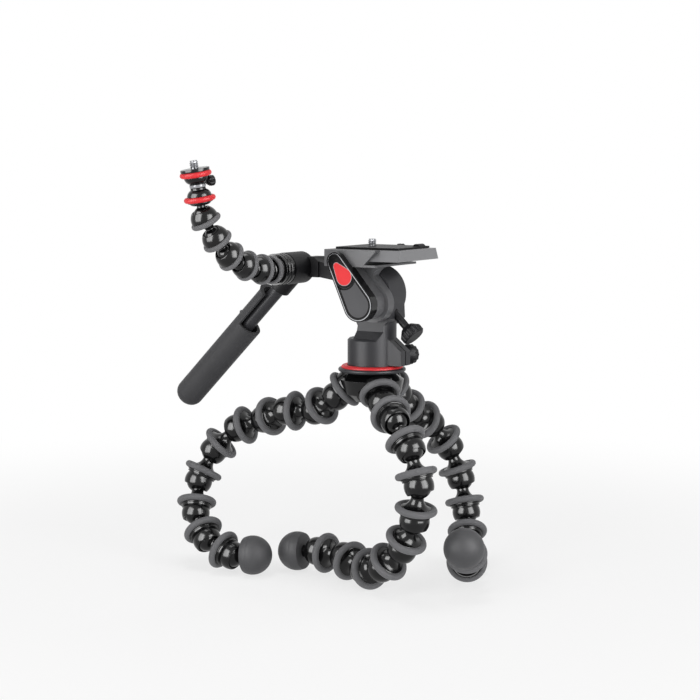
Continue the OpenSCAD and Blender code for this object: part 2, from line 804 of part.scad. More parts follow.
module tip_swivel() {
    flange = 2;
    stud_l = 6;
    color(black) on_tip() translate([0, 0, arm_ring_at]) difference() {
        rotate_extrude() difference() {
            polygon([
                [0, tip_waist + fit], [tip_waist_r, tip_waist + fit], [tip_waist_r, tip_waist + 2.4],
                [arm_collar_r, tip_h - 1.2], [arm_collar_r, tip_h + arm_tube], [tip_rim_r, tip_h + arm_tube],
                [tip_rim_r, tip_h + arm_tube + flange], [0, tip_h + arm_tube + flange]
            ]);
            translate([arm_ring_r, tip_h]) circle(arm_tube + seat);
        }
        translate([0, 0, tip_waist - 1]) cylinder(r = tip_pin_r + fit, h = tip_pin_l - tip_waist + 1 + fit);
        on_clamp() translate([0, 0, -tip_screw_sunk - fit])
            cylinder(r = tip_screw_r + fit / 2, h = 2 * tip_waist_r);
    }
    color(red) on_tip() translate([0, 0, arm_ring_at + tip_h]) ring(arm_ring_r, arm_tube);
    color(steel) on_tip() translate([0, 0, arm_ring_at + tip_h + arm_tube + flange])
        cylinder(d = tip_stud_d, h = stud_l);
}

module tip_clamp_screw() {
    color(black) on_tip() translate([0, 0, arm_ring_at]) on_clamp()
        knob(tip_screw_r, tip_screw_sunk, 1, 4, 6, 10);
}

leg_hub();
hub_rings();
mount_disc();
trim_ring();
pan_base();
pan_lock_knob();
tilt_body();
side_cover();
badge();
cover_panel();
tilt_axle();
tilt_lock_knob();
plate_holder();
plate();
camera_screw();
plate_lock_knob();
handle_bracket();
knuckle_clamp();
handle_bar();
handle_grip();
arm_lock_ring();
arm_base();
for (n = [0 : arm_links - 1]) arm_link(n);
arm_tip();
tip_swivel();
tip_clamp_screw();
for (leg = [0 : 2]) for (n = [0 : links]) leg_piece(leg, n);
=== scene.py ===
"""Looks of a bead-leg tripod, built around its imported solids."""

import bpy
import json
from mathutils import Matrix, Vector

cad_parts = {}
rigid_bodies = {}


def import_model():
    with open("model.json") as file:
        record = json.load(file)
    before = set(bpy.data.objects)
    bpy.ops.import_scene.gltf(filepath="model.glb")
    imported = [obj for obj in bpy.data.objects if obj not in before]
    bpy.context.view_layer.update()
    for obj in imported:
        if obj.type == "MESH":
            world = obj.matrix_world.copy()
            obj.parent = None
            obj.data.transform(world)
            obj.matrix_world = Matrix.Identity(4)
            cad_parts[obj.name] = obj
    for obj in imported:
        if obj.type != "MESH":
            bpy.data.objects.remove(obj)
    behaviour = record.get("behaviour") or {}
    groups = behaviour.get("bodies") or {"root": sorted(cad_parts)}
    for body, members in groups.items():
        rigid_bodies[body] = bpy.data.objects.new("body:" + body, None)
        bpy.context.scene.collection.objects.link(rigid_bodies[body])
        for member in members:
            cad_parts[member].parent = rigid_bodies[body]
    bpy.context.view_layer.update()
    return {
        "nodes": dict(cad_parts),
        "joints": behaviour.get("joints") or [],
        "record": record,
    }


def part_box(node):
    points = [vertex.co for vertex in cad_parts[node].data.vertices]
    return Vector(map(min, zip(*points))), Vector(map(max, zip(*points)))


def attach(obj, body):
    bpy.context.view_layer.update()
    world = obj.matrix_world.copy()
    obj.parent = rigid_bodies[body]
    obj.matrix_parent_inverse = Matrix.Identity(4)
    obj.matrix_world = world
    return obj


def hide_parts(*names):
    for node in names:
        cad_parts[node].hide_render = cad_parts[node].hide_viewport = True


bl_info = {
    "name": "Bead leg tripod",
    "version": (1, 0, 0),
    "blender": (4, 5, 0),
    "location": "View3D > Sidebar > Tripod",
    "description": "Dresses the tripod's solids with turned beads, soft edges and finishes",
    "category": "Object",
}

import json
import math

import bmesh
import bpy
from bpy.props import FloatProperty, IntProperty, PointerProperty, StringProperty
from mathutils import Matrix, Vector

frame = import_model()
NODES = frame["nodes"]
BODY_OF = {n: b for b, ns in frame["record"]["behaviour"]["bodies"].items() for n in ns}
JOINT_TO = {j["child"]: j for j in frame["joints"]}
MM = 0.001
LEGS = ("front", "right", "left")
LEG_LINKS = 9
ARM_LINKS = 5


def size(name, mm, words):
    """A length property in metres, from millimetres."""
    return FloatProperty(name=name, description=words, default=mm * MM, subtype="DISTANCE", unit="LENGTH")


def angle(name, degrees, words):
    """An angle property, from degrees."""
    return FloatProperty(name=name, description=words, default=math.radians(degrees), subtype="ANGLE")


def paint(name, code, words):
    """A colour property, as an sRGB hex value."""
    return StringProperty(name=name, description=words, default=code)


class LegBeadSizes(bpy.types.PropertyGroup):
    """Sizes of a leg bead, as in the part's source"""

    ball: size("Ball", 9.6, "Radius of the ball")
    gap: size("Gap", 0.25, "Play between ball and socket")
    wall: size("Wall", 1.5, "Wall of the domed socket")
    neck: size("Neck", 4.8, "Radius of the neck")
    pitch: size("Pitch", 27.5, "From ball centre to ball centre")
    ring_at: size("Ring place", 18, "From the ball centre to the ring's plane")
    collar: size("Collar", 12.4, "Radius of the collar")
    lead: size("Lead", 1.8, "Collar before the ring")
    tail: size("Tail", 3.6, "Collar after the ring")
    step_in: size("Step", 0.7, "How far the step under the collar is set in")
    step_l: size("Step length", 1.5, "Length of the step under the collar")
    ring: size("Ring", 13.4, "Radius of the ring at the middle of its tube")
    tube: size("Tube", 2.6, "Radius of the ring's tube")
    mouth: angle("Mouth", 61.2, "Half angle of the socket's mouth")
    soft: size("Soft edge", 0.35, "Rounding of the moulded edges")
    foot: size("Foot", 15.5, "Radius of the ball foot")
    foot_flat: size("Foot flat", 11.85, "From the ball centre to the flat of the ball foot")
    dive: angle("Dive", 40, "How far the hub's sockets point below the horizon")


class ArmBeadSizes(bpy.types.PropertyGroup):
    """Sizes of an arm bead, as in the part's source"""

    ball: size("Ball", 6.6, "Radius of the ball")
    gap: size("Gap", 0.2, "Play between ball and socket")
    wall: size("Wall", 1.3, "Wall of the domed socket")
    neck: size("Neck", 3.2, "Radius of the neck")
    pitch: size("Pitch", 17.3, "From ball centre to ball centre")
    ring_at: size("Ring place", 12, "From the ball centre to the ring's plane")
    collar: size("Collar", 8.9, "Radius of the collar")
    lead: size("Lead", 1.2, "Collar before the ring")
    tail: size("Tail", 2.4, "Collar after the ring")
    step_in: size("Step", 0.5, "How far the step under the collar is set in")
    step_l: size("Step length", 0.9, "Length of the step under the collar")
    ring: size("Ring", 9.6, "Radius of the ring at the middle of its tube")
    tube: size("Tube", 2, "Radius of the ring's tube")
    mouth: angle("Mouth", 59.1, "Half angle of the socket's mouth")
    soft: size("Soft edge", 0.25, "Rounding of the moulded edges")
    rise: size("Dome rise", 2, "From the ring's plane to the middle of a link's rounded dome")
    boss: size("Boss", 8.4, "Radius of the boss that the lock ring turns on")
    boss_l: size("Boss length", 10.4, "Boss behind the plane where a link has its ring")
    bore: size("Bore", 4.1, "Radius of the bore for the knuckle's pin")
    bore_l: size("Bore depth", 6.1, "Depth of the bore for the knuckle's pin")
    lip: size("Lip", 10.6, "Radius of the lip and the band round the base's socket")
    lip_at: size("Lip place", 2.1, "From the plane of a link's ring to the lip")
    lip_t: size("Lip thickness", 1.2, "Thickness of the lip")
    band_l: size("Band length", 4.9, "Length of the rubber band in front of the lip")
    band_gap: size("Band gap", 0.1, "Room round the rubber band")
    waist: size("Waist", 5.9, "Radius of the tip's waist")
    bulge: size("Bulge", 5.3, "Radius of the round shoulders on either side of the waist")
    bowl: size("Bowl", 3.4, "Radius of the round edge of the bowl under the tip's lower ring")
    bowl_in: size("Bowl inset", 1.8, "From the neck's side to the middle of the bowl's round edge")
    clip: size("Clip", 2.2, "Height of the bright clip round the waist")
    waist_at: size("Waist place", 8, "From the lower tip ring to the waist")
    tip_h: size("Tip height", 18, "From the lower tip ring to the upper one")
    rim: size("Rim", 10.6, "Radius of the tip's rim")
    flange: size("Flange", 2, "Thickness of the tip's rim")
    stud: size("Stud", 3.175, "Radius of the stud")
    stud_l: size("Stud length", 6, "Length of the stud")


class HeadSizes(bpy.types.PropertyGroup):
    """Sizes of the head's trim"""

    edge: size("Edge", 0.5, "Rounding of the cast edges")
    # The cover's bright line is a painted highlight of its chamfered edge
    line_in: size("Line inset", 0.9, "From the cover's edge to the bright line")
    line_w: size("Line width", 0.5, "Width of the bright line")
    line_t: size("Line height", 0.12, "Height of the bright line")
    fine_in: size("Fine line inset", 0.1, "From the badge's edge to its fine line")
    fine_w: size("Fine line width", 0.25, "Width of the badge's fine line")
    rim: size("Panel rim", 1.3, "Black rim of the cover's panel")
    badge_low: size("Badge low radius", 6.9, "Radius of the badge's round lower end")
    badge_high: size("Badge high radius", 2.9, "Radius of the badge's narrow upper end")
    cover_low: size("Cover low radius", 12.6, "Radius of the cover's round lower end")
    cover_high: size("Cover high radius", 7, "Radius of the cover's narrow upper end")
    screw: size("Screw", 3.175, "Major radius of the camera screw")
    thread_pitch: size("Thread pitch", 1.27, "Pitch of a quarter inch thread")
    thread_depth: size("Thread depth", 0.55, "Depth of the thread")


class TripodColours(bpy.types.PropertyGroup):
    """Colours of the finishes"""

    black: paint("Gloss black", "#0d0d0e", "Moulded ABS of the beads, hub and cover")
    rubber: paint("Grey rubber", "#6a6a6c", "Rings of the beads")
    foot: paint("Foot rubber", "#4a4a4c", "Ball feet")
    dark: paint("Dark paint", "#333336", "Pan base, disc and handle bar")
    grey: paint("Grey paint", "#5e5e60", "Tilt body, plate holder and cover panel")
    # Painted light: the plate's grey is lighter than the grey paint, to stand in for the light on its front
    # face
    plate: paint("Plate paint", "#868688", "Quick release plate")
    red: paint("Red", "#e2343a", "Trim ring and tip rings")
    badge: paint("Badge red", "#f4474a", "Plate on the side cover")
    knob: paint("Knob", "#151517", "Knobs and clamps")
    grip: paint("Grip", "#3a3a3c", "Rubber of the grip")
    steel: paint("Steel", "#9a9b9e", "Screws and axle")
    # Painted highlight: the cover's bright line stands in for the light along its chamfered edge
    line: paint("Line", "#d5d6d9", "Bright line round the cover")
    floor: paint("Floor", "#f6f6f6", "Floor")


class TripodSettings(bpy.types.PropertyGroup):
    """What a user would change"""

    leg: PointerProperty(type=LegBeadSizes)
    arm: PointerProperty(type=ArmBeadSizes)
    head: PointerProperty(type=HeadSizes)
    colours: PointerProperty(type=TripodColours)
    turn_steps: IntProperty(name="Turn steps", description="Faces round a turned piece", default=72, min=16)


def settings():
    return bpy.context.scene.tripod


def linear(code):
    """sRGB hex value to linear RGBA."""
    parts = [int(code[i : i + 2], 16) / 255 for i in (1, 3, 5)]
    return tuple(c / 12.92 if c <= 0.04045 else ((c + 0.055) / 1.055) ** 2.4 for c in parts) + (1.0,)


def shade(code, factor):
    """A lighter or darker linear colour of the same hue."""
    return tuple(min(1.0, c * factor) for c in linear(code)[:3]) + (1.0,)


def add(tree, kind, values=None, links=None, **fields):
    """Adds a node with its settings, socket values and links."""
    made = tree.nodes.new(kind)
    for key, value in fields.items():
        setattr(made, key, value)
    for key, value in (values or {}).items():
        made.inputs[key].default_value = value
    for key, source in (links or {}).items():
        tree.links.new(source, made.inputs[key])
    return made


def finish(name, paint_key, rough, grain_mm, blotch_mm, bump, spread, values):
    """A material with blotches in its colour, grain in its gloss and a fine relief."""
    if name in bpy.data.materials:
        return bpy.data.materials[name]
    code = getattr(settings().colours, paint_key)
    material = bpy.data.materials.new(name)
    material.use_nodes = True
    tree = material.node_tree
    tree.nodes.clear()
    place = add(tree, "ShaderNodeTexCoord").outputs["Object"]
    blotch, grain = (
        add(tree, "ShaderNodeTexNoise", {"Scale": 1 / (mm * MM), "Detail": detail}, {"Vector": place})
        for mm, detail in ((blotch_mm, 4.0), (grain_mm, 3.0))
    )
    colour = add(tree, "ShaderNodeValToRGB", links={"Fac": blotch.outputs["Fac"]})
    for stop, at, factor in zip(colour.color_ramp.elements, (0.3, 0.7), (1 - spread, 1 + spread)):
        stop.position = at
        stop.color = shade(code, factor)
    gloss = add(
        tree,
        "ShaderNodeMapRange",
        {"From Min": 0.3, "From Max": 0.7, "To Min": rough[0], "To Max": rough[1]},
        {"Value": grain.outputs["Fac"]},
    )
    relief = add(
        tree, "ShaderNodeBump", {"Strength": bump, "Distance": 0.1 * MM}, {"Height": grain.outputs["Fac"]}
    )
    shader = add(
        tree,
        "ShaderNodeBsdfPrincipled",
        values,
        {
            "Base Color": colour.outputs["Color"],
            "Roughness": gloss.outputs["Result"],
            "Normal": relief.outputs["Normal"],
        },
    )
    add(tree, "ShaderNodeOutputMaterial", links={"Surface": shader.outputs["BSDF"]})
    return material


def gloss_black_abs():
    # Moulded ABS: polished mould, so sharp mirror highlights with a faint orange peel
    values = {"Specular IOR Level": 0.28}
    return finish("ABS gloss black moulded", "black", (0.14, 0.22), 1.4, 30, 0.03, 0.12, values)


def grey_tpe():
    # Thermoplastic rubber from a sparked mould: even, dull, with a soft lift at the rim
    values = {"Specular IOR Level": 0.12, "Sheen Weight": 0.08}
    return finish("TPE grey moulded rubber", "rubber", (0.6, 0.78), 0.5, 14, 0.25, 0.1, values)


def foot_tpe():
    # The same rubber in a darker grey, a little worn to a shine
    values = {"Specular IOR Level": 0.18, "Sheen Weight": 0.05}
    return finish("TPE dark grey moulded rubber", "foot", (0.48, 0.7), 0.6, 12, 0.25, 0.1, values)


def dark_cast_paint():
    # Satin paint on a die casting: fine powder grain that spreads the highlight
    values = {"Specular IOR Level": 0.15}
    return finish("Painted die casting dark satin", "dark", (0.34, 0.46), 0.6, 22, 0.1, 0.1, values)


def grey_cast_paint():
    # The same satin paint in mid grey
    values = {"Specular IOR Level": 0.15}
    return finish("Painted die casting grey satin", "grey", (0.34, 0.46), 0.6, 22, 0.1, 0.08, values)


def lit_plate_paint():
    # Coated aluminium plate in a grey lighter than the casting: the lighter grey is painted light, standing in
    # for the light on the plate's front face; a slight sparkle
    values = {"Specular IOR Level": 0.18}
    return finish("Plate grey lightened as painted light", "plate", (0.3, 0.4), 0.4, 20, 0.08, 0.06, values)


def red_anodised():
    # Red anodised ring: bright colour under a satin film
    values = {"Specular IOR Level": 0.15}
    return finish("Anodised aluminium red", "red", (0.38, 0.46), 1.2, 12, 0.015, 0.05, values)


def red_badge():
    # Bare moulded badge, smooth and bright
    return finish("ABS red moulded", "badge", (0.26, 0.34), 0.8, 12, 0.03, 0.04, {"Specular IOR Level": 0.1})


def dark_moulding():
    # Glass filled nylon: matte with a sparked grain
    values = {"Specular IOR Level": 0.12}
    return finish("Nylon dark moulded", "knob", (0.4, 0.55), 0.5, 16, 0.15, 0.14, values)


def turned_steel():
    # Turned steel: bright, with fine tool marks
    return finish("Steel turned", "steel", (0.2, 0.36), 0.3, 8, 0.08, 0.06, {"Metallic": 1.0})


def plated_line_painted_highlight():
    # Thin polished plated line; on the cover it is a painted highlight, standing in for the light along the
    # chamfered edge
    return finish("Plated line painted highlight", "line", (0.12, 0.2), 0.5, 8, 0.02, 0.04, {"Metallic": 1.0})


def paper():
    # Pale paper sweep: dull, nearly white round the feet, which keeps the shadow, and lit to white further out
    values = {"Specular IOR Level": 0.1}
    material = finish("Paper sweep pale", "floor", (0.8, 0.9), 2, 400, 0.0, 0.004, values)
    tree = material.node_tree
    place = next(n for n in tree.nodes if n.type == "TEX_COORD").outputs["Object"]
    shader = next(n for n in tree.nodes if n.type == "BSDF_PRINCIPLED")
    out = next(n for n in tree.nodes if n.type == "OUTPUT_MATERIAL")
    far = add(tree, "ShaderNodeVectorMath", links={"Vector": place}, operation="LENGTH")
    fade = add(
        tree,
        "ShaderNodeMapRange",
        {"From Min": 0.22, "From Max": 0.75, "To Min": 0.72},
        {"Value": far.outputs["Value"]},
        interpolation_type="SMOOTHSTEP",
    )
    lit = add(tree, "ShaderNodeEmission", {"Color": (1, 1, 1, 1), "Strength": 1.0})
    mix = add(tree, "ShaderNodeMixShader", links={"Fac": fade.outputs["Result"]})
    tree.links.new(shader.outputs["BSDF"], mix.inputs[1])
    tree.links.new(lit.outputs["Emission"], mix.inputs[2])
    tree.links.new(mix.outputs["Shader"], out.inputs["Surface"])
    return material


def grip_rubber():
    # Rubber sleeve with a fine diagonal knurl at 1.1 mm
    name = "Rubber sleeve knurled dark grey"
    if name in bpy.data.materials:
        return bpy.data.materials[name]
    values = {"Specular IOR Level": 0.12, "Sheen Weight": 0.06}
    material = finish(name, "grip", (0.55, 0.7), 0.5, 18, 0.2, 0.08, values)
    tree = material.node_tree
    place = next(n for n in tree.nodes if n.type == "TEX_COORD").outputs["Object"]
    bump = next(n for n in tree.nodes if n.type == "BUMP")
    shader = next(n for n in tree.nodes if n.type == "BSDF_PRINCIPLED")
    cross = add(tree, "ShaderNodeMath", operation="MULTIPLY")
    for socket, lean in enumerate((35, -55)):
        lie = add(
            tree,
            "ShaderNodeMapping",
            {"Rotation": (0, math.radians(lean), math.radians(25))},
            {"Vector": place},
        )
        wave = add(tree, "ShaderNodeTexWave", {"Scale": 0.31 / (1.1 * MM)}, {"Vector": lie.outputs["Vector"]})
        tree.links.new(wave.outputs["Fac"], cross.inputs[socket])
    knurl = add(
        tree,
        "ShaderNodeBump",
        {"Strength": 0.5, "Distance": 0.15 * MM},
        {"Height": cross.outputs["Value"], "Normal": bump.outputs["Normal"]},
    )
    tree.links.new(knurl.outputs["Normal"], shader.inputs["Normal"])
    return material


def arc(at, radius, start, end, count):
    """An arc of a section: centre, radius, start and end in degrees from outwards to upwards, and steps."""
    return (at, radius, start, end, count)


def section(bm, outline, closed):
    """Draws a section in the XZ plane from (x, z) points and arcs, and returns its vertices and edges."""
    old_verts, old_edges = set(bm.verts), set(bm.edges)
    first = last = None
    for item in outline:
        if len(item) == 2:
            start = end = bm.verts.new((item[0], 0, item[1]))
        else:
            at, radius, a, b, count = item
            a, b = math.radians(a), math.radians(b)
            start = bm.verts.new((at[0] + radius * math.cos(a), 0, at[1] + radius * math.sin(a)))
            swept = bmesh.ops.spin(
                bm,
                geom=[start],
                cent=(at[0], 0, at[1]),
                axis=(0, -1, 0),
                angle=b - a,
                steps=count,
                use_duplicate=False,
            )
            end = next(g for g in swept["geom_last"] if isinstance(g, bmesh.types.BMVert))
        if last is not None:
            bm.edges.new((last, start))
        first = first or start
        last = end
    if closed:
        bm.edges.new((last, first))
    return [v for v in bm.verts if v not in old_verts], [e for e in bm.edges if e not in old_edges]


def turn(bm, outline, look=0, closed=False, soft=0.0):
    """Turns a half section about Z and rounds its corners."""
    old_verts, old_faces = set(bm.verts), set(bm.faces)
    verts, edges = section(bm, outline, closed)
    bmesh.ops.spin(
        bm,
        geom=verts + edges,
        cent=(0, 0, 0),
        axis=(0, 0, 1),
        angle=math.tau,
        steps=settings().turn_steps,
        use_merge=True,
        use_duplicate=False,
    )
    bmesh.ops.remove_doubles(bm, verts=[v for v in bm.verts if v not in old_verts], dist=1e-7)
    faces = [f for f in bm.faces if f not in old_faces]
    bmesh.ops.recalc_face_normals(bm, faces=faces)
    if soft:
        folds = {e for f in faces for e in f.edges if e.is_manifold}
        corners = [e for e in folds if e.calc_face_angle(0) > math.radians(24)]
        bmesh.ops.bevel(
            bm,
            geom=corners,
            offset=soft,
            affect="EDGES",
            segments=2,
            profile=0.5,
            clamp_overlap=True,
            material=-1,
        )
    for face in bm.faces:
        if face not in old_faces:
            face.material_index = look


def helix(bm, minor, major, pitch, length, base, look=0):
    """Winds a thread ridge round Z, from a base height."""
    old_faces = set(bm.faces)
    steps = 40
    turns = length / pitch - 1
    root = minor - 0.05 * MM
    verts, edges = section(
        bm,
        [
            (root, base),
            (major, base + 0.4 * pitch),
            (major, base + 0.55 * pitch),
            (root, base + 0.95 * pitch),
        ],
        True,
    )
    bmesh.ops.spin(
        bm,
        geom=verts + edges,
        cent=(0, 0, 0),
        axis=(0, 0, 1),
        dvec=(0, 0, pitch / steps),
        angle=math.tau * turns,
        steps=round(steps * turns),
        use_duplicate=False,
    )
    faces = [f for f in bm.faces if f not in old_faces]
    rims = {e for f in faces for e in f.edges if e.is_boundary}
    bmesh.ops.holes_fill(bm, edges=list(rims), sides=0)
    faces = [f for f in bm.faces if f not in old_faces]
    bmesh.ops.recalc_face_normals(bm, faces=faces)
    for face in faces:
        face.material_index = look


def to_mesh(bm, name):
    mesh = bpy.data.meshes.new(name)
    bm.to_mesh(mesh)
    bm.free()
    return mesh


def piece(name, mesh, looks, body, nodes=(), sharp=38):
    """Makes an object of a finished mesh, gives it its finishes and seats it on a body."""
    made = bpy.data.objects.new(name, mesh)
    bpy.context.scene.collection.objects.link(made)
    for look in looks:
        mesh.materials.append(look)
    for face in mesh.polygons:
        face.use_smooth = True
    mesh.set_sharp_from_angle(angle=math.radians(sharp))
    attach(made, body)
    if nodes:
        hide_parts(*nodes)
    return made


def welded(node):
    """A welded copy of a CAD node's mesh, with its flat faces whole."""
    bm = bmesh.new()
    bm.from_mesh(NODES[node].data)
    bmesh.ops.remove_doubles(bm, verts=bm.verts, dist=4e-6)
    bmesh.ops.dissolve_limit(bm, angle_limit=math.radians(0.4), verts=bm.verts, edges=bm.edges)
    for face in bm.faces:
        face.material_index = 0
    return bm


def softened(node, looks, edge=None, choose=None, bm=None):
    """A copy of a CAD node with rounded edges; choose gives a face's finish from its centre."""
    bm = bm or welded(node)
    for face in bm.faces if choose else ():
        face.material_index = choose(face.calc_center_median())
    made = piece(node + "_shell", to_mesh(bm, node + "_shell"), looks, BODY_OF[node], (node,))
    rounding = made.modifiers.new("Edges", "BEVEL")
    rounding.width = settings().head.edge if edge is None else edge
    rounding.segments = 3
    rounding.limit_method = "ANGLE"
    rounding.angle_limit = math.radians(28)
    rounding.use_clamp_overlap = True
    weights = made.modifiers.new("Normals", "WEIGHTED_NORMAL")
    weights.keep_sharp = True
    return made


def placed(at, way):
    """Matrix that sets a turned piece's base at a point, with its axis along a direction."""
    return Matrix.Translation(at) @ way.to_track_quat("Z", "Y").to_matrix().to_4x4()


def joint_at(body):
    return Vector(JOINT_TO[body]["pos_m"])


def joint_axis(body):
    return Vector(JOINT_TO[body]["axis"]).normalized()


def axis_from(node, at):
    """Direction from a point to a turned node's middle."""
    mesh = NODES[node].data
    area = sum(f.area for f in mesh.polygons)
    middle = sum((f.center * f.area for f in mesh.polygons), Vector()) / area
    return (middle - at).normalized()


def head_frame():
    """Matrix of the head: origin on the disc, X across along the tilt axle, Y rearward, Z up."""
    x, z = joint_axis("tilt_head"), Vector((0, 0, 1))
    turned = Matrix((x, z.cross(x), z)).transposed().to_4x4()
    return Matrix.Translation(joint_at("pan_head")) @ turned


def head_box(node):
    """Corners of a CAD node in the head's frame."""
    back = head_frame().inverted()
    spots = [back @ v.co for v in NODES[node].data.vertices]
    return [Vector([f(s[i] for s in spots) for i in range(3)]) for f in (min, max)]


def meet(a, ra, b, rb):
    """Where two circles of a half section cross, on the side nearer the axis."""
    a, b = Vector(a), Vector(b)
    far = (b - a).length
    along = (ra**2 - rb**2 + far**2) / (2 * far)
    out = math.sqrt(ra**2 - along**2)
    way = (b - a) / far
    sides = [a + way * along + Vector((-way.y, way.x)) * s for s in (out, -out)]
    return min(sides, key=lambda p: p.x)


def turn_of(at, point):
    """Angle of a point round a centre, in degrees from 0 to 360."""
    return math.degrees(math.atan2(point[1] - at[1], point[0] - at[0])) % 360


def stem_outline(b):
    """Half section of a ball, its flare and the groove of its ring, up to the groove's far edge."""
    flare = b.collar - b.neck
    flare_at = (b.collar, b.ring_at - b.lead - flare)
    ring_at = (b.ring, b.ring_at)
    root = meet((0, 0), b.ball, flare_at, flare)
    lip = meet(flare_at, flare, ring_at, b.tube)
    half = math.sqrt(b.tube**2 - (b.ring - b.collar) ** 2)
    return [
        arc((0, 0), b.ball, -90, turn_of((0, 0), root), 14),
        arc(flare_at, flare, turn_of(flare_at, root), turn_of(flare_at, lip), 10),
        arc(ring_at, b.tube, turn_of(ring_at, lip), turn_of(ring_at, (b.collar, b.ring_at + half)), 10),
    ]


def cup_outline(b, ring_at, collar, tail, rise=None):
    """Half section of a collar beyond its ring, the dome, a half ball where it has a rise, and the socket."""
    shelf = ring_at + tail
    step = shelf + b.step_l
    cup = ring_at + b.pitch - b.ring_at
    socket = b.ball + b.gap
    dome = socket + b.wall
    mouth = 90 - math.degrees(b.mouth)
    if rise is not None:
        middle = (0, ring_at + rise)
        edge = (dome * math.sin(b.mouth), cup + dome * math.cos(b.mouth))
        full = math.dist(middle, edge)
        low = math.degrees(math.asin((shelf - middle[1]) / full))
        return [
            (collar, shelf),
            arc(middle, full, low, turn_of(middle, edge), 14),
            arc((0, cup), socket, mouth, -90, 12),
        ]
    return [
        (collar, shelf),
        (b.collar - b.step_in, shelf),
        (b.collar - b.step_in, step),
        arc((0, cup), dome, math.degrees(math.asin((step - cup) / dome)), mouth, 12),
        arc((0, cup), socket, mouth, -90, 12),
    ]


def ring_outline(b, at):
    return [arc((b.ring, at), b.tube, 0, 345, 23)]


def chain(prefix, count, last, b, rise=None):
    """The beads of one chain, each along the line from its own ball to the next one's."""
    bm = bmesh.new()
    turn(bm, stem_outline(b) + cup_outline(b, b.ring_at, b.collar, b.tail, rise), 0, soft=b.soft)
    turn(bm, ring_outline(b, b.ring_at), 1, closed=True)
    base = to_mesh(bm, prefix)
    for n in range(1, count + 1):
        node = f"{prefix}_link_{n}"
        after = f"{prefix}_link_{n + 1}" if n < count else last
        at = joint_at(node)
        mesh = base.copy()
        mesh.transform(placed(at, joint_at(after) - at))
        piece(node + "_bead", mesh, (gloss_black_abs(), grey_tpe()), node, (node,))
    bpy.data.meshes.remove(base)


class TRIPOD_OT_leg_links(bpy.types.Operator):
    """Turns the leg links with their rubber rings"""

    bl_idname = "tripod.leg_links"
    bl_label = "Leg links"

    def execute(self, context):
        for leg in LEGS:
            chain(f"{leg}_leg", LEG_LINKS, f"{leg}_leg_foot", settings().leg)
        return {"FINISHED"}


class TRIPOD_OT_leg_feet(bpy.types.Operator):
    """Turns the ball feet"""

    bl_idname = "tripod.leg_feet"
    bl_label = "Ball feet"

    def execute(self, context):
        b = settings().leg
        cut = b.foot_flat
        edge_at = math.degrees(math.asin((cut - b.ring_at) / b.foot))
        neck_at = math.degrees(math.acos(b.neck / b.ball))
        seam = 0.9
        groove = 0.25 * MM
        for leg in LEGS:
            node = f"{leg}_leg_foot"
            at = joint_at(node)
            bm = bmesh.new()
            turn(bm, [arc((0, 0), b.ball, -90, neck_at, 14), (b.neck, cut + b.soft), (0, cut + b.soft)], 0)
            turn(
                bm,
                [
                    (0, cut),
                    arc((0, b.ring_at), b.foot, edge_at, -seam, 10),
                    (b.foot - groove, b.ring_at),
                    arc((0, b.ring_at), b.foot, seam, 90, 18),
                ],
                1,
                soft=b.soft,
            )
            mesh = to_mesh(bm, node)
            mesh.transform(placed(at, axis_from(node, at)))
            piece(node + "_ball", mesh, (gloss_black_abs(), foot_tpe()), node, (node,))
        return {"FINISHED"}


class TRIPOD_OT_hub(bpy.types.Operator):
    """Dresses the hub, its rings, the disc and the trim ring"""

    bl_idname = "tripod.hub"
    bl_label = "Hub"

    def execute(self, context):
        b = settings().leg
        softened("leg_hub", (gloss_black_abs(),))
        softened("mount_disc", (dark_cast_paint(),), 0.4 * MM)
        softened("trim_ring", (red_anodised(),), 0.3 * MM)
        bm = bmesh.new()
        for leg in LEGS:
            socket = joint_at(f"{leg}_leg_link_1")
            out = socket - joint_at("pan_head")
            out.z = 0
            way = out.normalized() * math.cos(b.dive) - Vector((0, 0, math.sin(b.dive)))
            old = set(bm.verts)
            turn(bm, ring_outline(b, b.ring_at - b.pitch), closed=True)
            bmesh.ops.transform(bm, matrix=placed(socket, way), verts=[v for v in bm.verts if v not in old])
        piece("hub_rings_turned", to_mesh(bm, "hub_rings"), (grey_tpe(),), "hub", ("hub_rings",))
        return {"FINISHED"}


class TRIPOD_OT_head(bpy.types.Operator):
    """Dresses the pan base, the tilt body and the axle"""

    bl_idname = "tripod.head"
    bl_label = "Head"

    def execute(self, context):
        softened("pan_base", (dark_cast_paint(),), 0.7 * MM)
        softened("tilt_body", (grey_cast_paint(),), 0.6 * MM)
        softened("tilt_axle", (turned_steel(),), 0.4 * MM)
        return {"FINISHED"}


